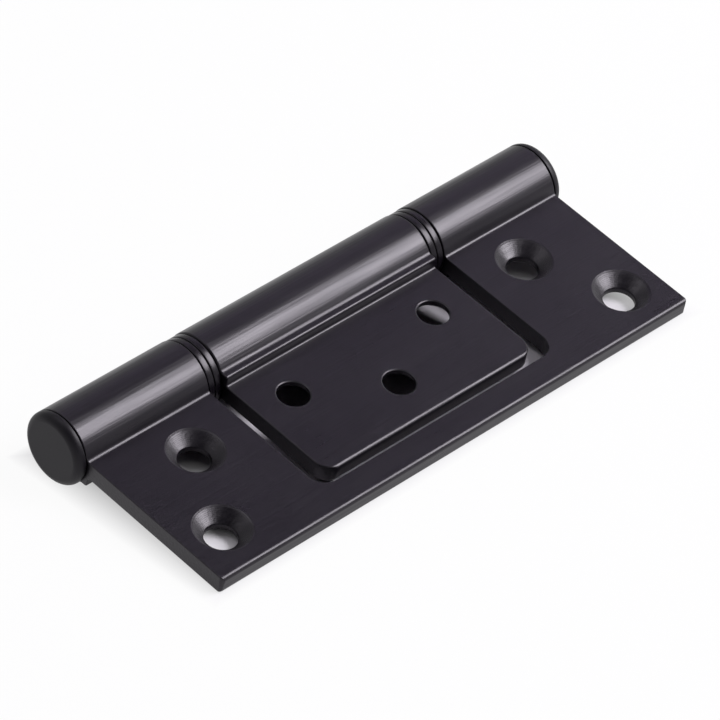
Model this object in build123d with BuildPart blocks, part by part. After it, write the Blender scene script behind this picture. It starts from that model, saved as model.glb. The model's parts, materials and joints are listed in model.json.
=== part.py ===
from build123d import *
import os

# Ball bearing hinge with nested leaves, 100 mm long, in millimetres.
# The leaf plane is XY, the pin runs along X and +Z is the side that shows when the hinge is closed.
# Both leaves are cut from one extruded section. The inner leaf is that section turned over.

# Leaves
LEAF_LENGTH = 100.0
LEAF_THICKNESS = 3.0
OUTER_LEAF_WIDTH = 35.1
OUTER_CORNER_RADIUS = 0.7
INNER_LEAF_WIDTH = 28.6
INNER_LEAF_LENGTH = 44.8
INNER_CORNER_RADIUS = 3.0
NOTCH_LENGTH = 50.4
NOTCH_WIDTH = 30.3
NOTCH_CORNER_RADIUS = 3.0

# Barrel and the shoulder beside it
BARREL_RADIUS = 6.0
BORE_RADIUS = 4.0
SHOULDER_WIDTH = 6.4
SHOULDER_HEIGHT = 3.3
SHOULDER_ROUND = 0.45
BARREL_FILLET = 0.9
LEAF_ROUND = 0.7

# Screw holes, measured from the middle of the hinge and from the pin
SCREW_HOLE_RADIUS = 2.6
COUNTERSINK_RADIUS = 4.6
COUNTERSINK_ANGLE = 90.0
REAR_HOLE_X = 35.2
FRONT_HOLE_X = 42.8
INNER_HOLE_X = 15.0
REAR_HOLE_WIDTH = 13.5
FRONT_HOLE_WIDTH = 27.4
SINGLE_HOLE_WIDTH = 21.2

# Pin, bushes and end caps
PIN_RADIUS = 3.0
PIN_LENGTH = 89.0
PIN_CHAMFER = 0.5
BUSH_RUNNING_GAP = 0.05
BUSH_CHAMFER = 0.3
CAP_THICKNESS = 1.8
CAP_ROUND = 1.3
SPIGOT_LENGTH = 5.0
SPIGOT_WALL = 1.2
SPIGOT_CHAMFER = 0.4

# Grooves that show as dark lines where a cap or a race meets a knuckle
SEAM_GROOVE_WIDTH = 0.2
SEAM_GROOVE_DEPTH = 0.45

# Thrust ball bearings between the knuckles
RACE_RADIUS = 5.9
RACE_BORE_RADIUS = 3.1
RACE_SEAM = 0.16
RACE_CHAMFER = 0.15
BALL_RADIUS = 0.6
BALL_GAP = 0.05
BALL_COUNT = 8
BALL_PITCH_RADIUS = 4.45
CAGE_WIDTH = 1.9
CAGE_THICKNESS = 0.5
CAGE_GAP = 0.1

# Places that follow from the sizes above. The origin is the middle of the hinge's box.
PIN_Y = (OUTER_LEAF_WIDTH - BARREL_RADIUS) / 2
BEARING_HEIGHT = (NOTCH_LENGTH - INNER_LEAF_LENGTH) / 2
BEARING_X = (NOTCH_LENGTH + INNER_LEAF_LENGTH) / 4
RACE_HEIGHT = (BEARING_HEIGHT - RACE_SEAM) / 2
SIDES = {"left": -1, "right": 1}

outer_section_plane = Plane((0, PIN_Y, 0), x_dir=(0, 1, 0), z_dir=(1, 0, 0))
inner_section_plane = Plane((0, PIN_Y, 0), x_dir=(0, 1, 0), z_dir=(-1, 0, 0))
os.makedirs("parts", exist_ok=True)


def save(builder, name):
    """Label a finished piece and write it as its own file."""
    builder.part.label = name
    export_step(builder.part, f"parts/{name}.step")


def plane_across_pin(x, direction):
    """A plane square to the pin at x, facing along direction times +X."""
    return Plane((x, PIN_Y, 0), x_dir=(0, 1, 0), z_dir=(direction, 0, 0))


def leaf_section(plane, width):
    """Barrel, shoulder and leaf in one outline, with every extruded edge rounded."""
    with BuildSketch(plane) as section:
        Circle(BARREL_RADIUS)
        with Locations((-width, 0)):
            Rectangle(width, LEAF_THICKNESS, align=(Align.MIN, Align.CENTER))
        with Locations((-SHOULDER_WIDTH, 0)):
            Rectangle(SHOULDER_WIDTH, SHOULDER_HEIGHT, align=(Align.MIN, Align.MAX))
        leaf_side = section.vertices().filter_by_position(Axis.X, -width, 0)
        free_edge = leaf_side.group_by(Axis.X)[0]
        top_corners = leaf_side.group_by(Axis.Y)[-1]
        fillet(free_edge + top_corners.sort_by(Axis.X)[-1:], LEAF_ROUND)
        below_pin = section.vertices().filter_by_position(Axis.Y, -BARREL_RADIUS, 0)
        fillet(below_pin.sort_by(Axis.X)[-1], BARREL_FILLET)
        # That fillet adds two vertices nearer to the pin than the shoulder's corners
        below_pin = section.vertices().filter_by_position(Axis.Y, -BARREL_RADIUS, 0)
        fillet(below_pin.group_by(Axis.X)[-3], SHOULDER_ROUND)
        Circle(BORE_RADIUS, mode=Mode.SUBTRACT)
    return section.sketch


def outline_from_above(length, width, corner_radius):
    """A shape with rounded front corners, open-ended past the far side of the barrel."""
    with BuildSketch() as outline:
        with Locations((0, PIN_Y - width)):
            Rectangle(length, width + 2 * BARREL_RADIUS, align=(Align.CENTER, Align.MIN))
        fillet(outline.vertices().group_by(Axis.Y)[0], corner_radius)
    return outline.sketch


def tube(plane, length, outer_radius, inner_radius):
    """A plain sleeve that starts on the plane and runs along its normal."""
    with BuildPart() as sleeve:
        with BuildSketch(plane):
            Circle(outer_radius)
            Circle(inner_radius, mode=Mode.SUBTRACT)
        extrude(amount=length)
        bore_edges = sleeve.edges().filter_by(GeomType.CIRCLE).group_by(SortBy.RADIUS)[0]
        chamfer(bore_edges, BUSH_CHAMFER)
    return sleeve


# Outer leaf: two knuckles, with a notch for the inner leaf
rear_holes = [(side * REAR_HOLE_X, PIN_Y - REAR_HOLE_WIDTH) for side in SIDES.values()]
front_holes = [(side * FRONT_HOLE_X, PIN_Y - FRONT_HOLE_WIDTH) for side in SIDES.values()]

with BuildPart() as outer_leaf:
    extrude(leaf_section(outer_section_plane, OUTER_LEAF_WIDTH), amount=LEAF_LENGTH / 2, both=True)
    outer_outline = outline_from_above(LEAF_LENGTH, OUTER_LEAF_WIDTH, OUTER_CORNER_RADIUS)
    extrude(outer_outline, amount=2 * BARREL_RADIUS, both=True, mode=Mode.INTERSECT)
    notch = outline_from_above(NOTCH_LENGTH, NOTCH_WIDTH, NOTCH_CORNER_RADIUS)
    extrude(notch, amount=2 * BARREL_RADIUS, both=True, mode=Mode.SUBTRACT)
    with Locations(*[(x, y, LEAF_THICKNESS / 2) for x, y in rear_holes + front_holes]):
        CounterSinkHole(SCREW_HOLE_RADIUS, COUNTERSINK_RADIUS, counter_sink_angle=COUNTERSINK_ANGLE)
save(outer_leaf, "outer_leaf")

# Inner leaf: the middle knuckle, with its shoulder and screw faces the other way up
inner_holes = [(side * INNER_HOLE_X, PIN_Y - REAR_HOLE_WIDTH) for side in SIDES.values()]
inner_holes.append((0, PIN_Y - SINGLE_HOLE_WIDTH))

with BuildPart() as inner_leaf:
    extrude(leaf_section(inner_section_plane, INNER_LEAF_WIDTH), amount=INNER_LEAF_LENGTH / 2, both=True)
    inner_outline = outline_from_above(INNER_LEAF_LENGTH, INNER_LEAF_WIDTH, INNER_CORNER_RADIUS)
    extrude(inner_outline, amount=2 * BARREL_RADIUS, both=True, mode=Mode.INTERSECT)
    with Locations(*[Plane((x, y, -LEAF_THICKNESS / 2), z_dir=(0, 0, -1)) for x, y in inner_holes]):
        CounterSinkHole(SCREW_HOLE_RADIUS, COUNTERSINK_RADIUS, counter_sink_angle=COUNTERSINK_ANGLE)
save(inner_leaf, "inner_leaf")

# Pin
with BuildPart() as hinge_pin:
    with BuildSketch(plane_across_pin(0, 1)):
        Circle(PIN_RADIUS)
    extrude(amount=PIN_LENGTH / 2, both=True)
    chamfer(hinge_pin.edges().filter_by(GeomType.CIRCLE), PIN_CHAMFER)
save(hinge_pin, "hinge_pin")

# Bushes: the outer two grip the pin and the centre one turns on it
centre_bush = tube(
    plane_across_pin(-INNER_LEAF_LENGTH / 2, 1), INNER_LEAF_LENGTH, BORE_RADIUS, PIN_RADIUS + BUSH_RUNNING_GAP
)
save(centre_bush, "centre_bush")

for side_name, side in SIDES.items():
    bush_length = (PIN_LENGTH - NOTCH_LENGTH) / 2
    outer_bush = tube(plane_across_pin(side * NOTCH_LENGTH / 2, side), bush_length, BORE_RADIUS, PIN_RADIUS)
    save(outer_bush, f"{side_name}_bush")

# End caps: a round cover with a hollow spigot in the barrel
for side_name, side in SIDES.items():
    end_plane = plane_across_pin(side * LEAF_LENGTH / 2, side)
    outward = Axis(end_plane.origin, end_plane.z_dir)
    with BuildPart() as end_cap:
        with BuildSketch(end_plane.offset(SEAM_GROOVE_WIDTH)):
            Circle(BARREL_RADIUS)
        extrude(amount=CAP_THICKNESS - SEAM_GROOVE_WIDTH)
        fillet(end_cap.edges().filter_by(GeomType.CIRCLE).sort_by(outward)[-1], CAP_ROUND)
        with BuildSketch(end_plane):
            Circle(BARREL_RADIUS - SEAM_GROOVE_DEPTH)
        extrude(amount=SEAM_GROOVE_WIDTH)
        with BuildSketch(end_plane):
            Circle(BORE_RADIUS)
            Circle(BORE_RADIUS - SPIGOT_WALL, mode=Mode.SUBTRACT)
        extrude(amount=-SPIGOT_LENGTH)
        nose_edges = end_cap.edges().filter_by(GeomType.CIRCLE).group_by(outward)[0]
        chamfer(nose_edges.sort_by(SortBy.RADIUS)[-1], SPIGOT_CHAMFER)
    save(end_cap, f"{side_name}_end_cap")

# Bearings: two races with ball tracks, a cage and its balls
race_middle = (RACE_RADIUS + RACE_BORE_RADIUS) / 2
channel_depth = CAGE_THICKNESS / 2 + CAGE_GAP
channel_width = CAGE_WIDTH + 2 * CAGE_GAP

for side_name, side in SIDES.items():
    for race_name, direction in {"fixed": side, "moving": -side}.items():
        race_plane = Plane((side * BEARING_X, PIN_Y, 0), x_dir=(0, 0, 1), z_dir=(0, direction, 0))
        with BuildPart() as race:
            with BuildSketch(race_plane) as race_section:
                with Locations((race_middle, RACE_SEAM / 2)):
                    Rectangle(RACE_RADIUS - RACE_BORE_RADIUS, RACE_HEIGHT, align=(Align.CENTER, Align.MIN))
                with Locations((RACE_RADIUS, BEARING_HEIGHT / 2)):
                    Rectangle(2 * SEAM_GROOVE_DEPTH, 2 * SEAM_GROOVE_WIDTH, mode=Mode.SUBTRACT)
                rim_corners = race_section.vertices().group_by(Axis.X)[-1]
                chamfer(rim_corners, RACE_CHAMFER)
                with Locations((BALL_PITCH_RADIUS, 0)):
                    Rectangle(channel_width, 2 * channel_depth, mode=Mode.SUBTRACT)
                    Circle(BALL_RADIUS + BALL_GAP, mode=Mode.SUBTRACT)
            revolve(axis=Axis((0, PIN_Y, 0), (1, 0, 0)))
        save(race, f"{side_name}_{race_name}_race")

    seam_plane = plane_across_pin(side * BEARING_X, side)
    with BuildPart() as ball_cage:
        with BuildSketch(seam_plane):
            Circle(BALL_PITCH_RADIUS + CAGE_WIDTH / 2)
            Circle(BALL_PITCH_RADIUS - CAGE_WIDTH / 2, mode=Mode.SUBTRACT)
            with PolarLocations(BALL_PITCH_RADIUS, BALL_COUNT):
                Circle(BALL_RADIUS + BALL_GAP, mode=Mode.SUBTRACT)
        extrude(amount=CAGE_THICKNESS / 2, both=True)
    save(ball_cage, f"{side_name}_ball_cage")

    for number in range(BALL_COUNT):
        with BuildPart() as ball:
            with Locations(seam_plane):
                with PolarLocations(BALL_PITCH_RADIUS, 1, start_angle=number * 360 / BALL_COUNT):
                    Sphere(BALL_RADIUS)
        save(ball, f"{side_name}_ball_{number + 1}")
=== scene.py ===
import json
import math

import bmesh
import bpy
from bpy.props import FloatProperty, FloatVectorProperty, IntProperty, PointerProperty
from mathutils import Matrix, Vector


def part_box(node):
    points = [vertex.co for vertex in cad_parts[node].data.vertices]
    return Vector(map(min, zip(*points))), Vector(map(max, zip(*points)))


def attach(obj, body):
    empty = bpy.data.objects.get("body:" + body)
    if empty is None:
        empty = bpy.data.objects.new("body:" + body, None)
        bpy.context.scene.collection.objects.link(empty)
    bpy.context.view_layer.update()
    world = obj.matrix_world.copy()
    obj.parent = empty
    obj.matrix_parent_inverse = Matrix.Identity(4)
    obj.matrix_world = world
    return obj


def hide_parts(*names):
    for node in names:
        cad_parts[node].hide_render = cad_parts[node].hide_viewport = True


# Finishes and studio of a black ball bearing hinge with nested leaves.
# Every size is in metres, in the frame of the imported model: X runs along the pin, and the leaves lie in XY.

bl_info = {
    "name": "Ball bearing hinge",
    "version": (1, 0, 0),
    "blender": (4, 5, 0),
    "location": "3D View > Sidebar > Hinge",
    "description": "Finishes the pieces of a nested-leaf ball bearing hinge and sets up its studio",
    "category": "Object",
}

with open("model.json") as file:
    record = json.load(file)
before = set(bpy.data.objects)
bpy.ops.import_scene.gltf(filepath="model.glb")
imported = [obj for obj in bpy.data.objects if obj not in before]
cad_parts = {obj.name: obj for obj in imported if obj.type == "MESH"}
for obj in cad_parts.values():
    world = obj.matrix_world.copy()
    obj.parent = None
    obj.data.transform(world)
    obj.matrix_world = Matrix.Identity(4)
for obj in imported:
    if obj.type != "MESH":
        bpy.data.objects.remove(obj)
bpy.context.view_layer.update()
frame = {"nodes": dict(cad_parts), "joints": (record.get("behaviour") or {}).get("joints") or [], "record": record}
MM = 0.001

# Places that the frame gives
RECORD = frame["record"]
BODY_OF = {node: body for body, nodes in RECORD["behaviour"]["bodies"].items() for node in nodes}
SLOT_OF = {entry["node"]: entry["material_slot"] for entry in RECORD["subparts"]}
MOUNTS = {mount["name"]: Vector(mount["pos_m"]) for mount in RECORD["mounts"]}
SCREW_HOLES = [mount for mount in RECORD["mounts"] if mount["kind"] in ("bolt_pattern", "bore")]
OUTER_HOLES = [mount for mount in SCREW_HOLES if mount["name"].startswith("outer")]
PIN = Vector(frame["joints"][0]["pos_m"])
OUTER_LOW, OUTER_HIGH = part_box("outer_leaf")
BARREL_RADIUS = OUTER_HIGH.z - PIN.z
HALF_LEAF = abs(MOUNTS["outer_leaf_back"].z)
SIDES = {"left": -1, "right": 1}
BALL_COUNT = sum(node.startswith("left_ball_") and SLOT_OF[node] == "ball_steel" for node in BODY_OF)

# Mesh limits: what counts as one point, one plane, a sharp edge to break, and a crease to keep
WELD_DISTANCE = 0.001 * MM
FLAT_ANGLE = math.radians(0.2)
SHARP_ANGLE = math.radians(40)
LEAF_CREASE = math.radians(80)
TURNED_CREASE = math.radians(35)
ROUND_PROFILE = 0.5

# Steps along the small arcs of turned pieces, and faces of a ball
CAP_SEAM_STEPS = 4
CAP_RIM_STEPS = 12
RING_RIM_STEPS = 5
TRACK_STEPS = 12
BALL_SEGMENTS = 32
BALL_RINGS = 16

# Stretch of noise: even, or into lines along the extrusion, round the rings and round the pin
EVEN = (1.0, 1.0, 1.0)
EXTRUDED_LINES = (0.025, 1.0, 1.0)
RING_LINES = (1.0, 0.03, 0.03)
PIN_LINES = (1.0, 0.02, 0.02)

# Light with no cast
WHITE = (1.0, 1.0, 1.0)


# Shader maths


class Wire:
    """One output of a shader node. Sums and products of wires and numbers add Math nodes."""

    def __init__(self, tree, socket=None):
        self.tree = tree
        self.socket = socket

    def node(self, kind, settings=None, inputs=None, output=0):
        """Add a node: its settings come first, then the values or wires of its sockets."""
        node = self.tree.nodes.new(kind)
        for name, value in (settings or {}).items():
            if name == "stops":
                for stop, (place, colour) in zip(node.color_ramp.elements, value):
                    stop.position = place
                    stop.color = colour
            else:
                setattr(node, name, value)
        for key, value in (inputs or {}).items():
            if isinstance(value, Wire):
                self.tree.links.new(value.socket, node.inputs[key])
            else:
                node.inputs[key].default_value = value
        return Wire(self.tree, node.outputs[output] if node.outputs else None)

    def math(self, operation, first, second):
        return self.node("ShaderNodeMath", {"operation": operation}, {0: first, 1: second})

    def __add__(self, other):
        return self.math("ADD", self, other)

    def __radd__(self, other):
        return self.math("ADD", other, self)

    def __sub__(self, other):
        return self.math("SUBTRACT", self, other)

    def __rsub__(self, other):
        return self.math("SUBTRACT", other, self)

    def __mul__(self, other):
        return self.math("MULTIPLY", self, other)

    def __rmul__(self, other):
        return self.math("MULTIPLY", other, self)

    def at_most(self, limit):
        return self.math("MINIMUM", self, limit)

    def at_least(self, limit):
        return self.math("MAXIMUM", self, limit)

    def absolute(self):
        return self.math("ABSOLUTE", self, 0.0)

    def root(self):
        return self.math("SQRT", self, 0.0)

    def fraction(self):
        return self.math("FRACT", self, 0.0)


def empty_material(name):
    """A new material with no nodes yet, and the wire that adds them."""
    material = bpy.data.materials.new(name)
    material.use_nodes = True
    material.node_tree.nodes.clear()
    return material, Wire(material.node_tree)


def noise(start, scale, stretch=EVEN, detail=2.0):
    """Noise on object coordinates, from 0 to 1. Scale is in features per metre."""
    place = start.node("ShaderNodeTexCoord", output="Object")
    stretched = start.node("ShaderNodeMapping", None, {"Vector": place, "Scale": stretch})
    return start.node("ShaderNodeTexNoise", None, {"Vector": stretched, "Scale": scale, "Detail": detail})


def axes(start, names):
    """The named object coordinates, as wires."""
    place = start.node("ShaderNodeTexCoord", output="Object")
    return [start.node("ShaderNodeSeparateXYZ", None, {"Vector": place}, output=name) for name in names]


def scaled(colour, share):
    return tuple(channel * share for channel in colour)


def tone(start, amount, dark, light):
    """A colour between two, by an amount from 0 to 1."""
    stops = [(0.0, (*dark, 1.0)), (1.0, (*light, 1.0))]
    return start.node("ShaderNodeValToRGB", {"stops": stops}, {"Fac": amount})


def clouded(start, clouds, colour, spread):
    """A colour that the clouds darken and lighten by that spread."""
    return tone(start, clouds, scaled(colour, 1.0 - spread), scaled(colour, 1.0 + spread))


def worn(start, marks, colour, loss):
    """A colour that is darker by that loss where the marks are low."""
    return tone(start, marks, scaled(colour, 1.0 - loss), colour)


def spread_round(mean, *noises):
    """A value round a mean. Each noise comes with the spread that it adds."""
    value = mean - sum(spread for wire, spread in noises) / 2
    for wire, spread in noises:
        value = value + spread * wire
    return value


def finish_surface(start, colour, roughness, height, relief, constants=None):
    """End a material in a principled surface, with a bump of that relief in metres."""
    normal = start.node("ShaderNodeBump", None, {"Height": height, "Strength": 1.0, "Distance": relief})
    inputs = {"Base Color": colour, "Roughness": roughness, "Normal": normal, **(constants or {})}
    surface = start.node("ShaderNodeBsdfPrincipled", None, inputs)
    start.node("ShaderNodeOutputMaterial", None, {"Surface": surface})


# Finishes


def hole_distance(start, holes):
    """Distance from the axis of the nearest of these holes, which are the same on both sides of x = 0."""
    x, y = axes(start, "XY")
    nearest = None
    for hole in holes:
        away = x.absolute() - hole["dims"].get("spacing_x_mm", 0.0) * MM / 2
        along = y - hole["pos_m"][1]
        distance = (away * away + along * along).root()
        nearest = distance if nearest is None else nearest.at_most(distance)
    return nearest


def black_anodised(settings):
    """Satin black anodised aluminium with faint die lines along the extrusion and turned countersinks."""
    material, start = empty_material("black_anodised_aluminium")
    depth = settings.countersink_radius - hole_distance(start, SCREW_HOLES)
    [z] = axes(start, "Z")
    inside = depth.at_most(HALF_LEAF - z.absolute())
    in_hole = (inside * (1.0 / settings.edge_break)).at_least(0.0).at_most(1.0)
    tool_step = settings.turning_pitch * settings.turning_slope / settings.relief
    turning = (depth * (1.0 / settings.turning_pitch)).fraction() * tool_step * in_hole
    die_lines = noise(start, settings.die_line_scale, EXTRUDED_LINES)
    grain = noise(start, settings.grain_scale)
    clouds = noise(start, settings.cloud_scale, detail=3.0)
    roughness = spread_round(
        settings.roughness,
        (clouds, settings.cloud_roughness),
        (die_lines, settings.die_line_roughness),
        (grain, settings.grain_roughness),
    )
    colour = clouded(start, clouds, settings.colour, settings.cloud_tone)
    height = settings.die_line_height * die_lines + settings.grain_height * grain + turning
    constants = {"Specular IOR Level": settings.specular, "Specular Tint": (*settings.sheen, 1.0)}
    finish_surface(start, colour, roughness, height, settings.relief, constants)
    return material


def black_plastic(settings):
    """Matte black moulded plastic with a fine spark-eroded grain."""
    material, start = empty_material("matte_black_plastic")
    grain = noise(start, settings.grain_scale, detail=3.0)
    clouds = noise(start, settings.cloud_scale)
    colour = clouded(start, clouds, settings.colour, settings.cloud_tone)
    roughness = spread_round(
        settings.roughness, (grain, settings.grain_roughness), (clouds, settings.cloud_roughness)
    )
    constants = {"Specular IOR Level": settings.specular, "Specular Tint": (*settings.sheen, 1.0)}
    finish_surface(start, colour, roughness, grain, settings.relief, constants)
    return material


def black_steel(settings):
    """Black coated steel ring, turned, so its fine lines run round the pin."""
    material, start = empty_material("black_coated_steel")
    turning = noise(start, settings.turning_scale, RING_LINES, detail=3.0)
    clouds = noise(start, settings.cloud_scale)
    colour = clouded(start, clouds, settings.ring_colour, settings.cloud_tone)
    roughness = spread_round(
        settings.ring_roughness, (turning, settings.turning_roughness), (clouds, settings.cloud_roughness)
    )
    constants = {"Specular IOR Level": settings.specular, "Specular Tint": (*settings.ring_sheen, 1.0)}
    finish_surface(start, colour, roughness, turning, settings.relief, constants)
    return material


def polished_steel(settings):
    """Bright bearing steel with a trace of rolling marks."""
    material, start = empty_material("polished_bearing_steel")
    marks = noise(start, settings.mark_scale, detail=4.0)
    colour = worn(start, marks, settings.ball_colour, settings.mark_tone)
    roughness = spread_round(settings.ball_roughness, (marks, settings.mark_roughness))
    finish_surface(start, colour, roughness, marks, settings.relief, {"Metallic": 1.0})
    return material


def ground_steel(settings):
    """Centreless ground steel, with grinding lines round the pin."""
    material, start = empty_material("ground_steel")
    lines = noise(start, settings.line_scale, PIN_LINES, detail=4.0)
    colour = worn(start, lines, settings.steel_colour, settings.line_tone)
    roughness = spread_round(settings.steel_roughness, (lines, settings.line_roughness))
    finish_surface(start, colour, roughness, lines, settings.relief, {"Metallic": 1.0})
    return material


def natural_nylon(settings):
    """Milky nylon with soft tone changes and a fine moulded skin."""
    material, start = empty_material("natural_nylon")
    clouds = noise(start, settings.cloud_scale, detail=3.0)
    grain = noise(start, settings.grain_scale)
    colour = worn(start, clouds, settings.nylon_colour, settings.cloud_tone)
    roughness = spread_round(settings.nylon_roughness, (grain, settings.grain_roughness))
    finish_surface(start, colour, roughness, grain, settings.relief)
    return material


# Meshes


def pin_point(x, radius, angle):
    """A point at that radius and angle round the pin, at x along it."""
    return Vector((x, PIN.y + radius * math.cos(angle), PIN.z + radius * math.sin(angle)))


def arc(centre, radius, first, last, steps):
    """Points of an arc in the outline's plane, from the first angle to the last, in degrees."""
    angles = [math.radians(first + (last - first) * step / steps) for step in range(steps + 1)]
    return [(centre[0] + radius * math.cos(a), centre[1] + radius * math.sin(a)) for a in angles]


def turned_mesh(name, outline, start_x, direction, turn_steps, closed):
    """A mesh turned round the pin from (radius, distance) points, with distance counted from start_x."""
    shape = bmesh.new()
    rings = []
    for radius, distance in outline:
        count = turn_steps if radius > 0 else 1
        angles = [2 * math.pi * step / turn_steps for step in range(count)]
        x = start_x + direction * distance
        rings.append([shape.verts.new(pin_point(x, radius, angle)) for angle in angles])
    followers = rings[1:] + rings[:1] if closed else rings[1:]
    for near, far in zip(rings, followers):
        for step in range(turn_steps):
            after = (step + 1) % turn_steps
            corners = [near[step % len(near)], near[after % len(near)]]
            corners += [far[after % len(far)], far[step % len(far)]]
            shape.faces.new(dict.fromkeys(corners))
    bmesh.ops.recalc_face_normals(shape, faces=shape.faces)
    mark_creases(shape, TURNED_CREASE)
    return to_mesh(name, shape)


def mark_creases(shape, limit):
    """Smooth faces, with every edge sharper than the limit left as a crease."""
    for face in shape.faces:
        face.smooth = True
    for edge in shape.edges:
        edge.smooth = edge.calc_face_angle(0.0) < limit


def to_mesh(name, shape):
    mesh = bpy.data.meshes.new(name)
    shape.to_mesh(mesh)
    shape.free()
    return mesh


def softened_mesh(node, name, edge_break, segments):
    """A welded copy of a node with whole flat faces and its sharp edges broken by a small round."""
    shape = bmesh.new()
    shape.from_mesh(frame["nodes"][node].data)
    bmesh.ops.remove_doubles(shape, verts=shape.verts, dist=WELD_DISTANCE)
    bmesh.ops.dissolve_limit(shape, angle_limit=FLAT_ANGLE, verts=shape.verts, edges=shape.edges)
    sharp = [edge for edge in shape.edges if edge.calc_face_angle(0.0) > SHARP_ANGLE]
    bmesh.ops.bevel(
        shape,
        geom=sharp,
        offset=edge_break,
        offset_type="OFFSET",
        segments=segments,
        profile=ROUND_PROFILE,
        affect="EDGES",
        clamp_overlap=False,
    )
    mark_creases(shape, LEAF_CREASE)
    return to_mesh(name, shape)


def add_piece(name, mesh, material, nodes):
    """Link a finished mesh as a piece that stands for these CAD nodes and rides on their body."""
    mesh.materials.append(material)
    piece = bpy.data.objects.new(name, mesh)
    bpy.context.scene.collection.objects.link(piece)
    weighted = piece.modifiers.new("Face weighted normals", "WEIGHTED_NORMAL")
    weighted.keep_sharp = True
    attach(piece, BODY_OF[nodes[0]])
    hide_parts(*nodes)


# Settings


def length_property(name, description, millimetres):
    """A size in metres that is given in millimetres."""
    return FloatProperty(name=name, description=description, default=millimetres * MM, unit="LENGTH")


def lengths_property(name, description, *metres):
    return FloatVectorProperty(
        name=name, description=description, size=len(metres), default=metres, unit="LENGTH"
    )


def share_property(name, description, default):
    return FloatProperty(name=name, description=description, default=default, subtype="FACTOR")


def plain_property(name, description, default):
    return FloatProperty(name=name, description=description, default=default)


def watts_property(name, description, default):
    return FloatProperty(name=name, description=description, default=default, unit="POWER")


def angle_property(name, description, degrees):
    return FloatProperty(name=name, description=description, default=math.radians(degrees), subtype="ANGLE")


def colour_property(name, description, *channels):
    return FloatVectorProperty(name=name, description=description, default=channels, subtype="COLOR")


def direction_property(name, description, *parts):
    return FloatVectorProperty(name=name, description=description, default=parts, subtype="DIRECTION")


def pair_property(name, description, *values):
    return FloatVectorProperty(name=name, description=description, size=2, default=values)


def count_property(name, description, default):
    return IntProperty(name=name, description=description, default=default)


class LeafSettings(bpy.types.PropertyGroup):
    """Sizes and finish of the two leaves."""

    edge_break: length_property("Edge break", "Round on the outer leaf's cut edges", 0.16)
    inner_edge_break: length_property("Inner edge break", "Round on the inner leaf's cut edges", 0.28)
    edge_segments: count_property("Edge segments", "Steps across each broken edge", 3)
    colour: colour_property("Colour", "Dyed oxide colour", 0.0034, 0.0026, 0.0046)
    roughness: share_property("Roughness", "Mean roughness", 0.34)
    specular: share_property("Specular", "Specular level", 0.39)
    sheen: colour_property("Sheen", "Tint of the mirrored light", 0.96, 0.9, 1.0)
    countersink_radius: length_property("Countersink radius", "At the leaf's face", 4.6)
    turning_pitch: length_property("Turning pitch", "Tool marks in the countersinks", 0.2)
    turning_slope: plain_property("Turning slope", "Rise of each tool mark towards the hole", 0.4)
    die_line_scale: plain_property("Die lines", "Die lines per metre", 2350.0)
    die_line_roughness: share_property("Die line roughness", "Spread that the die lines add", 0.2)
    die_line_height: plain_property("Die line height", "Share of the relief", 2.0)
    grain_scale: plain_property("Grain", "Grain features per metre", 4000.0)
    grain_roughness: share_property("Grain roughness", "Spread that the grain adds", 0.06)
    grain_height: plain_property("Grain height", "Share of the relief", 0.5)
    cloud_scale: plain_property("Clouds", "Soft tone changes per metre", 70.0)
    cloud_roughness: share_property("Cloud roughness", "Spread that the clouds add", 0.14)
    cloud_tone: share_property("Cloud tone", "Change of colour, darker and lighter", 0.2)
    relief: length_property("Relief", "Depth of grain and die lines", 0.014)


class CapSettings(bpy.types.PropertyGroup):
    """Sizes and finish of the end caps."""

    rim_round: length_property("Rim round", "Radius of the rim", 1.3)
    seam_width: length_property("Seam width", "Groove beside the barrel", 0.2)
    seam_depth: length_property("Seam depth", "Groove beside the barrel", 0.45)
    seam_edge: length_property("Seam edge", "Round beside the seam", 0.1)
    spigot_radius: length_property("Spigot radius", "Outside", 4.0)
    spigot_wall: length_property("Spigot wall", "Thickness", 1.2)
    spigot_chamfer: length_property("Spigot nose", "Chamfer", 0.4)
    turn_steps: count_property("Turn steps", "Faces round the pin", 128)
    colour: colour_property("Colour", "Plastic colour", 0.0056, 0.0049, 0.0068)
    roughness: share_property("Roughness", "Mean roughness", 0.44)
    specular: share_property("Specular", "Specular level", 0.22)
    sheen: colour_property("Sheen", "Tint of the mirrored light", 0.96, 0.92, 1.0)
    grain_scale: plain_property("Grain", "Grain features per metre", 5000.0)
    grain_roughness: share_property("Grain roughness", "Spread that the grain adds", 0.1)
    cloud_scale: plain_property("Clouds", "Soft tone changes per metre", 180.0)
    cloud_roughness: share_property("Cloud roughness", "Spread that the clouds add", 0.06)
    cloud_tone: share_property("Cloud tone", "Change of colour, darker and lighter", 0.15)
    relief: length_property("Relief", "Depth of the grain", 0.006)


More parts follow.
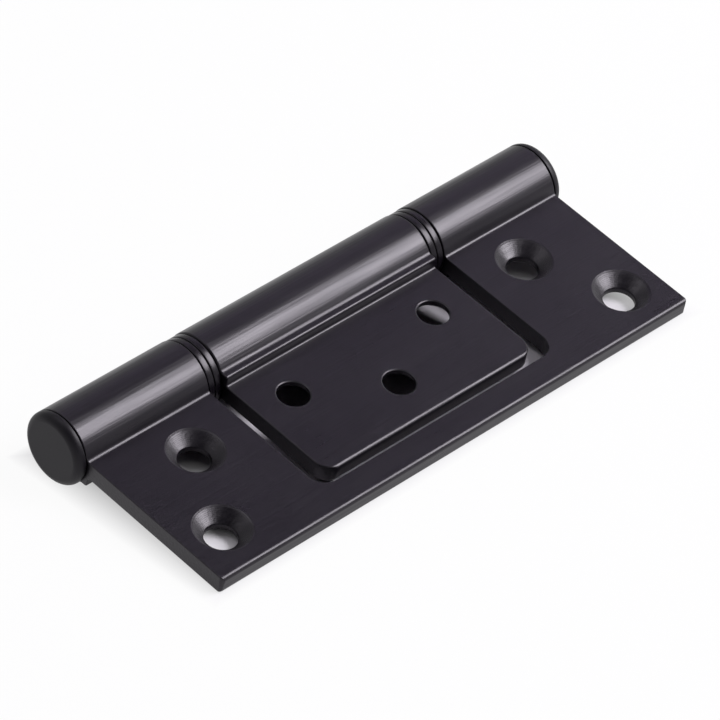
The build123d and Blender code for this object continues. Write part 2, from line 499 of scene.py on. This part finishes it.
class BearingSettings(bpy.types.PropertyGroup):
    """Sizes and finish of the bearing rings and balls."""

    rim_round: length_property("Rim round", "Radius of ring edges", 0.15)
    bore_radius: length_property("Bore radius", "Hole for the pin", 3.1)
    pitch_radius: length_property("Pitch radius", "Ball circle", 4.45)
    track_radius: length_property("Track radius", "Ball groove", 0.65)
    channel_width: length_property("Channel width", "Room for the cage", 2.1)
    channel_depth: length_property("Channel depth", "From the middle of the bearing", 0.35)
    seam_width: length_property("Seam width", "Groove beside the knuckle", 0.2)
    seam_depth: length_property("Seam depth", "Groove beside the knuckle", 0.45)
    turn_steps: count_property("Turn steps", "Faces round the pin", 128)
    ring_colour: colour_property("Ring colour", "Coating colour", 0.0036, 0.0028, 0.0046)
    ring_roughness: share_property("Ring roughness", "Mean roughness", 0.28)
    specular: share_property("Specular", "Specular level", 0.28)
    ring_sheen: colour_property("Ring sheen", "Tint of the mirrored light", 0.96, 0.9, 1.0)
    ball_colour: colour_property("Ball colour", "Steel colour", 0.62, 0.62, 0.64)
    ball_roughness: share_property("Ball roughness", "Mean roughness", 0.17)
    turning_scale: plain_property("Turning lines", "Lines per metre", 6000.0)
    turning_roughness: share_property("Turning roughness", "Spread that the lines add", 0.1)
    cloud_scale: plain_property("Clouds", "Soft tone changes per metre", 150.0)
    cloud_roughness: share_property("Cloud roughness", "Spread that the clouds add", 0.06)
    cloud_tone: share_property("Cloud tone", "Change of colour, darker and lighter", 0.2)
    mark_scale: plain_property("Marks", "Rolling marks per metre", 3000.0)
    mark_roughness: share_property("Mark roughness", "Spread that the marks add", 0.1)
    mark_tone: share_property("Mark tone", "How much darker the marks are", 0.08)
    relief: length_property("Relief", "Depth of fine lines", 0.001)


class CoreSettings(bpy.types.PropertyGroup):
    """Finish of the pin, the bushes and the cages."""

    steel_colour: colour_property("Steel colour", "Pin steel", 0.5, 0.5, 0.52)
    steel_roughness: share_property("Steel roughness", "Mean roughness", 0.33)
    nylon_colour: colour_property("Nylon colour", "Bushes and cages", 0.72, 0.7, 0.64)
    nylon_roughness: share_property("Nylon roughness", "Mean roughness", 0.48)
    line_scale: plain_property("Grinding lines", "Lines per metre", 5000.0)
    line_roughness: share_property("Line roughness", "Spread that the lines add", 0.14)
    line_tone: share_property("Line tone", "How much darker the lines are", 0.15)
    grain_scale: plain_property("Grain", "Grain features per metre", 4000.0)
    grain_roughness: share_property("Grain roughness", "Spread that the grain adds", 0.12)
    cloud_scale: plain_property("Clouds", "Soft tone changes per metre", 120.0)
    cloud_tone: share_property("Cloud tone", "How much darker the clouds are", 0.1)
    relief: length_property("Relief", "Depth of fine lines", 0.002)


class StageSettings(bpy.types.PropertyGroup):
    """Camera, floor, lamps and cards."""

    camera_azimuth: angle_property("Azimuth", "Camera's turn round the hinge", -52.67)
    camera_elevation: angle_property("Elevation", "Camera's height above the leaves", 43.67)
    camera_roll: angle_property("Roll", "Camera's turn about its own axis", 11.97)
    camera_distance: length_property("Distance", "Camera to its target", 822.7)
    camera_target: lengths_property("Target", "Middle of the picture", -0.43 * MM, 1.2 * MM, 0.0)
    lens: plain_property("Lens", "Focal length in millimetres of a full frame", 271.16)
    floor_size: length_property("Floor size", "Side of the floor", 4000.0)
    floor_colour: colour_property("Floor colour", "Pale floor", 0.6, 0.57, 0.63)
    floor_speckle: plain_property("Floor speckle", "Soft tone changes per metre", 40.0)
    floor_tone: share_property("Floor tone", "How much darker the speckle is", 0.015)
    floor_gap: length_property("Floor gap", "Between the floor and the hinge", 0.02)
    # The floor glow is plain white. Its fade towards the hinge paints shade beside and under the hinge, on top of
    # the floor's real shadow. The glow below the outer leaf's holes is a painted spot of light in place of light
    # falling through them.
    floor_glow: share_property("Floor glow", "Share of plain white where the floor is seen", 0.95)
    shadow_start: length_property("Shadow start", "Where the glow begins to fade, beside the hinge", 3.0)
    shadow_width: length_property("Shadow width", "Over which the glow fades, towards the hinge", 12.0)
    front_fade: plain_property("Front fade", "How much faster the glow fades at the front and rear", 1.6)
    painted_hole_light: share_property("Hole glow", "Glow below the outer leaf's holes", 0.1)
    painted_hole_light_radius: length_property("Hole spot", "Radius of that glow", 4.0)
    ambient: plain_property("Ambient", "Light of the grey room", 0.58)
    softbox_direction: direction_property("Softbox direction", "From the hinge", 0.57, -0.385, 0.727)
    softbox_distance: length_property("Softbox distance", "From the hinge", 1000.0)
    softbox_size: lengths_property("Softbox size", "Width and height", 0.58, 0.5)
    softbox_power: watts_property("Softbox power", "Watts", 14.8)
    top_direction: direction_property("Top lamp", "From the hinge", -0.1, 0.44, 0.89)
    top_size: lengths_property("Top lamp size", "Width and height", 0.25, 0.25)
    top_power: watts_property("Top lamp power", "Watts", 0.34)
    side_direction: direction_property("Side lamp", "From the hinge", 0.93, 0.23, 0.27)
    side_size: lengths_property("Side lamp size", "Width and height", 0.35, 0.35)
    side_power: watts_property("Side lamp power", "Watts", 0.33)
    card_distance: length_property("Card distance", "Cards and small lamps, from the hinge", 600.0)
    card_middle: share_property("Card middle", "Place of a card's middle between its greys", 0.6)
    card_change: pair_property("Card change", "Grey per metre, to the right and to the rear", 3.0, 2.4)
    card_weave: plain_property("Card weave", "Features of the weave per metre", 300.0)
    card_weave_tone: share_property("Card weave tone", "Change of grey by the weave", 0.1)
    roof_direction: direction_property("Roof card", "Grey card that the leaves mirror", 0.57, 0.46, 0.68)
    roof_size: length_property("Roof card size", "Side of the grey card", 500.0)
    roof_greys: pair_property("Roof card greys", "From the left front to the right rear", 0.09, 0.94)
    roof_tint: colour_property("Roof card tint", "Cast of the card", 0.97, 0.91, 1.06)
    front_direction: direction_property("Front card", "Dark card above the camera", -0.42, -0.28, 0.86)
    front_size: length_property("Front card size", "Side of the dark card", 700.0)
    front_greys: pair_property("Front card greys", "From the left front to the right rear", 0.02, 0.02)


# Operators


class HINGE_OT_finish_leaves(bpy.types.Operator):
    """Give both leaves softened cut edges and a satin black finish"""

    bl_idname = "hinge.finish_leaves"
    bl_label = "Finish leaves"

    def execute(self, context):
        settings = context.scene.hinge_leaves
        finish = black_anodised(settings)
        edge_breaks = {"outer_leaf": settings.edge_break, "inner_leaf": settings.inner_edge_break}
        for node, edge_break in edge_breaks.items():
            name = f"{node}_finished"
            mesh = softened_mesh(node, name, edge_break, settings.edge_segments)
            add_piece(name, mesh, finish, [node])
        return {"FINISHED"}


class HINGE_OT_make_caps(bpy.types.Operator):
    """Turn the two moulded end caps with their spigots"""

    bl_idname = "hinge.make_caps"
    bl_label = "Make end caps"

    def execute(self, context):
        settings = context.scene.hinge_caps
        finish = black_plastic(settings)
        for side_name, side in SIDES.items():
            node = f"{side_name}_end_cap"
            low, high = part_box(node)
            face = max(abs(low.x), abs(high.x))
            seat = OUTER_HIGH.x
            spigot_length = seat - min(abs(low.x), abs(high.x))
            outline = self.outline(settings, face - seat, spigot_length)
            name = f"{node}_moulded"
            mesh = turned_mesh(name, outline, side * seat, side, settings.turn_steps, closed=False)
            add_piece(name, mesh, finish, [node])
        return {"FINISHED"}

    def outline(self, settings, thickness, spigot_length):
        """The cap's half section, from the spigot's floor round to the middle of the face."""
        spigot = settings.spigot_radius
        hollow = spigot - settings.spigot_wall
        nose = settings.spigot_chamfer
        neck = BARREL_RADIUS - settings.seam_depth
        seam = settings.seam_width
        edge = settings.seam_edge
        rim = settings.rim_round
        points = [(0.0, 0.0), (hollow, 0.0), (hollow, -spigot_length), (spigot - nose, -spigot_length)]
        points += [(spigot, nose - spigot_length), (spigot, 0.0), (neck, 0.0), (neck, seam)]
        points += arc((BARREL_RADIUS - edge, seam + edge), edge, -90, 0, CAP_SEAM_STEPS)
        points += arc((BARREL_RADIUS - rim, thickness - rim), rim, 0, 90, CAP_RIM_STEPS)
        return points + [(0.0, thickness)]


class HINGE_OT_make_rings(bpy.types.Operator):
    """Turn the four bearing rings with their ball tracks"""

    bl_idname = "hinge.make_rings"
    bl_label = "Make bearing rings"

    def execute(self, context):
        settings = context.scene.hinge_bearings
        finish = black_steel(settings)
        for side_name, side in SIDES.items():
            directions = {"fixed": side, "moving": -side}
            boxes = {kind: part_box(f"{side_name}_{kind}_race") for kind in directions}
            corners = [corner.x for box in boxes.values() for corner in box]
            middle = (min(corners) + max(corners)) / 2
            for kind, outward in directions.items():
                node = f"{side_name}_{kind}_race"
                low, high = boxes[kind]
                near = min(abs(low.x - middle), abs(high.x - middle))
                far = max(abs(low.x - middle), abs(high.x - middle))
                outline = self.outline(settings, (high.z - low.z) / 2, near, far)
                name = f"{node}_turned"
                mesh = turned_mesh(name, outline, middle, outward, settings.turn_steps, closed=True)
                add_piece(name, mesh, finish, [node])
        return {"FINISHED"}

    def outline(self, settings, radius, near, far):
        """The ring's section as a loop, with distances from the middle of the bearing."""
        pitch = settings.pitch_radius
        half = settings.channel_width / 2
        depth = settings.channel_depth
        rim = settings.rim_round
        seam = far - settings.seam_width
        neck = radius - settings.seam_depth
        lean = math.degrees(math.asin(depth / settings.track_radius))
        points = [(settings.bore_radius, near), (pitch - half, near), (pitch - half, depth)]
        points += arc((pitch, 0.0), settings.track_radius, 180 - lean, lean, TRACK_STEPS)
        points += [(pitch + half, depth), (pitch + half, near)]
        points += arc((radius - rim, near + rim), rim, -90, 0, RING_RIM_STEPS)
        points += arc((radius - rim, seam - rim), rim, 0, 90, RING_RIM_STEPS)
        return points + [(neck, seam), (neck, far), (settings.bore_radius, far)]


class HINGE_OT_make_balls(bpy.types.Operator):
    """Set the ring of balls of each bearing"""

    bl_idname = "hinge.make_balls"
    bl_label = "Make balls"

    def execute(self, context):
        settings = context.scene.hinge_bearings
        finish = polished_steel(settings)
        tree, inputs = ball_set_tree()
        for side_name in SIDES:
            nodes = [f"{side_name}_ball_{number}" for number in range(1, BALL_COUNT + 1)]
            low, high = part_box(nodes[0])
            values = {
                "Count": BALL_COUNT,
                "Pitch radius": settings.pitch_radius,
                "Ball radius": (high.x - low.x) / 2,
                "Centre": ((low.x + high.x) / 2, PIN.y, PIN.z),
            }
            carrier = bpy.data.objects.new("ball_carrier", bpy.data.meshes.new("ball_carrier"))
            context.scene.collection.objects.link(carrier)
            modifier = carrier.modifiers.new("Ball set", "NODES")
            modifier.node_group = tree
            for name, value in values.items():
                modifier[inputs[name]] = value
            evaluated = carrier.evaluated_get(context.evaluated_depsgraph_get())
            mesh = bpy.data.meshes.new_from_object(evaluated)
            bpy.data.objects.remove(carrier)
            mesh.name = f"{side_name}_ball_set"
            add_piece(f"{side_name}_ball_set", mesh, finish, nodes)
        return {"FINISHED"}


def ball_set_tree():
    """A node tree that sets balls evenly round the pin, and the identifiers of its inputs."""
    tree = bpy.data.node_groups.new("Ball set", "GeometryNodeTree")
    kinds = {
        "Count": "NodeSocketInt",
        "Pitch radius": "NodeSocketFloat",
        "Ball radius": "NodeSocketFloat",
        "Centre": "NodeSocketVector",
    }
    identifiers = {}
    for name, kind in kinds.items():
        socket = tree.interface.new_socket(name, in_out="INPUT", socket_type=kind)
        identifiers[name] = socket.identifier
    tree.interface.new_socket("Geometry", in_out="OUTPUT", socket_type="NodeSocketGeometry")
    given = tree.nodes.new("NodeGroupInput")
    circle = tree.nodes.new("GeometryNodeMeshCircle")
    upright = tree.nodes.new("GeometryNodeTransform")
    upright.inputs["Rotation"].default_value = (0.0, math.pi / 2, 0.0)
    ball = tree.nodes.new("GeometryNodeMeshUVSphere")
    ball.inputs["Segments"].default_value = BALL_SEGMENTS
    ball.inputs["Rings"].default_value = BALL_RINGS
    place = tree.nodes.new("GeometryNodeInstanceOnPoints")
    real = tree.nodes.new("GeometryNodeRealizeInstances")
    smooth = tree.nodes.new("GeometryNodeSetShadeSmooth")
    result = tree.nodes.new("NodeGroupOutput")
    links = [
        (given.outputs["Count"], circle.inputs["Vertices"]),
        (given.outputs["Pitch radius"], circle.inputs["Radius"]),
        (given.outputs["Ball radius"], ball.inputs["Radius"]),
        (given.outputs["Centre"], upright.inputs["Translation"]),
        (circle.outputs["Mesh"], upright.inputs["Geometry"]),
        (upright.outputs["Geometry"], place.inputs["Points"]),
        (ball.outputs["Mesh"], place.inputs["Instance"]),
        (place.outputs["Instances"], real.inputs["Geometry"]),
        (real.outputs["Geometry"], smooth.inputs["Geometry"]),
        (smooth.outputs["Geometry"], result.inputs["Geometry"]),
    ]
    for source, target in links:
        tree.links.new(source, target)
    return tree, identifiers


class HINGE_OT_finish_core(bpy.types.Operator):
    """Give the pin, the bushes and the cages their steel and nylon"""

    bl_idname = "hinge.finish_core"
    bl_label = "Finish pin, bushes and cages"

    def execute(self, context):
        settings = context.scene.hinge_core
        nylon = natural_nylon(settings)
        finishes = {"pin_steel": ground_steel(settings), "bush_nylon": nylon, "cage_nylon": nylon}
        for node, slot in SLOT_OF.items():
            if slot in finishes:
                materials = frame["nodes"][node].data.materials
                materials.clear()
                materials.append(finishes[slot])
        return {"FINISHED"}


class HINGE_OT_set_stage(bpy.types.Operator):
    """Set the floor, the lamps, the cards and the camera"""

    bl_idname = "hinge.set_stage"
    bl_label = "Set stage"

    def execute(self, context):
        settings = context.scene.hinge_stage
        context.scene.view_settings.view_transform = "Standard"
        self.make_world(context.scene, settings)
        self.make_floor(settings)
        far, near = settings.softbox_distance, settings.card_distance
        lamps = {
            "softbox": (far, settings.softbox_direction, settings.softbox_size, settings.softbox_power),
            "top_lamp": (near, settings.top_direction, settings.top_size, settings.top_power),
            "side_lamp": (near, settings.side_direction, settings.side_size, settings.side_power),
        }
        for name, values in lamps.items():
            self.make_lamp(name, *values)
        pale = [scaled(settings.roof_tint, grey) for grey in settings.roof_greys]
        dark = [scaled(WHITE, grey) for grey in settings.front_greys]
        self.make_card("roof_card", settings, settings.roof_direction, settings.roof_size, pale)
        self.make_card("front_card", settings, settings.front_direction, settings.front_size, dark)
        self.make_camera(context.scene, settings)
        return {"FINISHED"}

    def seen_directly(self, start):
        """1 for camera, mirror and see-through rays, and 0 for the rest."""
        kinds = ("Is Camera Ray", "Is Glossy Ray", "Is Transmission Ray")
        camera, glossy, through = [start.node("ShaderNodeLightPath", output=kind) for kind in kinds]
        return (camera + glossy + through).at_most(1.0)

    def make_world(self, scene, settings):
        world = bpy.data.worlds.new("studio")
        world.use_nodes = True
        world.node_tree.nodes.clear()
        start = Wire(world.node_tree)
        light = {"Color": (*WHITE, 1.0), "Strength": settings.ambient}
        room = start.node("ShaderNodeBackground", None, light)
        start.node("ShaderNodeOutputWorld", None, {"Surface": room})
        scene.world = world

    def make_floor(self, settings):
        """The floor touches the barrel and the free edge, as the hinge lies on a table."""
        corners = frame["nodes"]["outer_leaf"].data.vertices
        free_edge = [corner.co for corner in corners if corner.co.y < OUTER_LOW.y + MM]
        slope = max(self.tangent_slope(point) for point in free_edge)
        along = Vector((1.0, 0.0, 0.0))
        down = Vector((0.0, math.cos(slope), math.sin(slope)))
        touch = PIN - along.cross(down) * (BARREL_RADIUS + settings.floor_gap)
        floor = flat_card("floor", touch, along, down, settings.floor_size)
        material, start = empty_material("pale_floor")
        speckle = noise(start, settings.floor_speckle)
        pale = worn(start, speckle, settings.floor_colour, settings.floor_tone)
        matte = start.node("ShaderNodeBsdfDiffuse", None, {"Color": pale})
        white = start.node("ShaderNodeEmission", None, {"Color": (*WHITE, 1.0), "Strength": 1.0})
        # Painted shade and light: the white glow fades towards the hinge, and comes back as a painted spot of
        # light below each outer hole.
        glow = settings.floor_glow * self.seen_directly(start) * self.painted_shade_and_hole_light(start, settings)
        both = start.node("ShaderNodeMixShader", None, {0: glow, 1: matte, 2: white})
        start.node("ShaderNodeOutputMaterial", None, {"Surface": both})
        floor.data.materials.append(material)

    def painted_shade_and_hole_light(self, start, settings):
        """1 beside the hinge and 0 under it, so the fading glow paints shade round and under the hinge on top of
        the floor's real shadow, apart from a painted spot of light below each of the outer leaf's holes.
        """
        x, y = axes(start, "XY")
        past_front = settings.front_fade * (y.absolute() - OUTER_HIGH.y)
        past_ends = x.absolute() - OUTER_HIGH.x
        beyond = past_ends.at_least(past_front)
        faded = 1.0 + (beyond - settings.shadow_start) * (1.0 / settings.shadow_width)
        # Painted light: a spot of glow below each of the outer leaf's holes stands in for light falling through
        # them.
        nearness = 1.0 - hole_distance(start, OUTER_HOLES) * (1.0 / settings.painted_hole_light_radius)
        spot = settings.painted_hole_light * nearness
        return (faded.at_least(0.0) + spot.at_least(0.0)).at_most(1.0)

    def tangent_slope(self, point):
        """Slope of the line from this point that touches the barrel from below."""
        across = Vector((PIN.y - point.y, PIN.z - point.z))
        return math.atan2(across.y, across.x) - math.asin(BARREL_RADIUS / across.length)

    def make_lamp(self, name, distance, place, size, power):
        """A soft rectangular lamp that looks at the hinge."""
        light = bpy.data.lights.new(name, "AREA")
        light.shape = "RECTANGLE"
        light.size, light.size_y = size
        light.energy = power
        lamp = bpy.data.objects.new(name, light)
        bpy.context.scene.collection.objects.link(lamp)
        facing = Vector(place).normalized()
        lamp.location = facing * distance
        lamp.rotation_euler = (-facing).to_track_quat("-Z", "Y").to_euler()
        lamp.visible_camera = False

    def make_card(self, name, settings, place, size, colours):
        """A card, unseen by the camera, that changes colour from the left front to the right rear."""
        facing = Vector(place).normalized()
        middle = facing * settings.card_distance
        side = facing.cross(Vector((0.0, 0.0, 1.0))).normalized()
        card = flat_card(name, middle, side, side.cross(facing), size)
        card.visible_camera = False
        card.visible_shadow = False
        material, start = empty_material(name)
        x, y = axes(start, "XY")
        weave = noise(start, settings.card_weave)
        to_right, to_rear = settings.card_change
        change = to_right * (x - middle.x) + to_rear * (y - middle.y)
        amount = settings.card_middle + change + settings.card_weave_tone * weave
        matte = start.node("ShaderNodeBsdfDiffuse", None, {"Color": tone(start, amount, *colours)})
        start.node("ShaderNodeOutputMaterial", None, {"Surface": matte})
        card.data.materials.append(material)

    def camera_side(self, settings):
        """Direction from the hinge to the camera."""
        turn, lift = settings.camera_azimuth, settings.camera_elevation
        return Vector((math.sin(turn) * math.cos(lift), -math.cos(turn) * math.cos(lift), math.sin(lift)))

    def make_camera(self, scene, settings):
        back = self.camera_side(settings)
        level = (-back).to_track_quat("-Z", "Y").to_matrix()
        turned = level @ Matrix.Rotation(settings.camera_roll, 3, "Z")
        data = bpy.data.cameras.new("camera")
        data.lens = settings.lens
        camera = bpy.data.objects.new("camera", data)
        scene.collection.objects.link(camera)
        place = Matrix.Translation(Vector(settings.camera_target) + back * settings.camera_distance)
        camera.matrix_world = place @ turned.to_4x4()
        scene.camera = camera


def flat_card(name, middle, across, along, size):
    """A square stage surface round a middle point, with its sides along two unit vectors."""
    signs = [(-1, -1), (1, -1), (1, 1), (-1, 1)]
    corners = [middle + across * (a * size / 2) + along * (b * size / 2) for a, b in signs]
    mesh = bpy.data.meshes.new(name)
    mesh.from_pydata(corners, [], [(0, 1, 2, 3)])
    card = bpy.data.objects.new(name, mesh)
    bpy.context.scene.collection.objects.link(card)
    return card


class HINGE_PT_sidebar(bpy.types.Panel):
    """The hinge's steps in the order they are run"""

    bl_idname = "HINGE_PT_sidebar"
    bl_label = "Ball bearing hinge"
    bl_space_type = "VIEW_3D"
    bl_region_type = "UI"
    bl_category = "Hinge"

    def draw(self, context):
        for operator in OPERATORS:
            self.layout.operator(operator.bl_idname)


SETTINGS = {
    "hinge_leaves": LeafSettings,
    "hinge_caps": CapSettings,
    "hinge_bearings": BearingSettings,
    "hinge_core": CoreSettings,
    "hinge_stage": StageSettings,
}
OPERATORS = [
    HINGE_OT_finish_leaves,
    HINGE_OT_make_caps,
    HINGE_OT_make_rings,
    HINGE_OT_make_balls,
    HINGE_OT_finish_core,
    HINGE_OT_set_stage,
]
CLASSES = [*SETTINGS.values(), *OPERATORS, HINGE_PT_sidebar]


def register():
    for item in CLASSES:
        bpy.utils.register_class(item)
    for name, group in SETTINGS.items():
        setattr(bpy.types.Scene, name, PointerProperty(type=group))


def unregister():
    for name in SETTINGS:
        delattr(bpy.types.Scene, name)
    for item in reversed(CLASSES):
        bpy.utils.unregister_class(item)


def main():
    register()
    bpy.ops.hinge.finish_leaves()
    bpy.ops.hinge.make_caps()
    bpy.ops.hinge.make_rings()
    bpy.ops.hinge.make_balls()
    bpy.ops.hinge.finish_core()
    bpy.ops.hinge.set_stage()


if __name__ == "__main__":
    main()
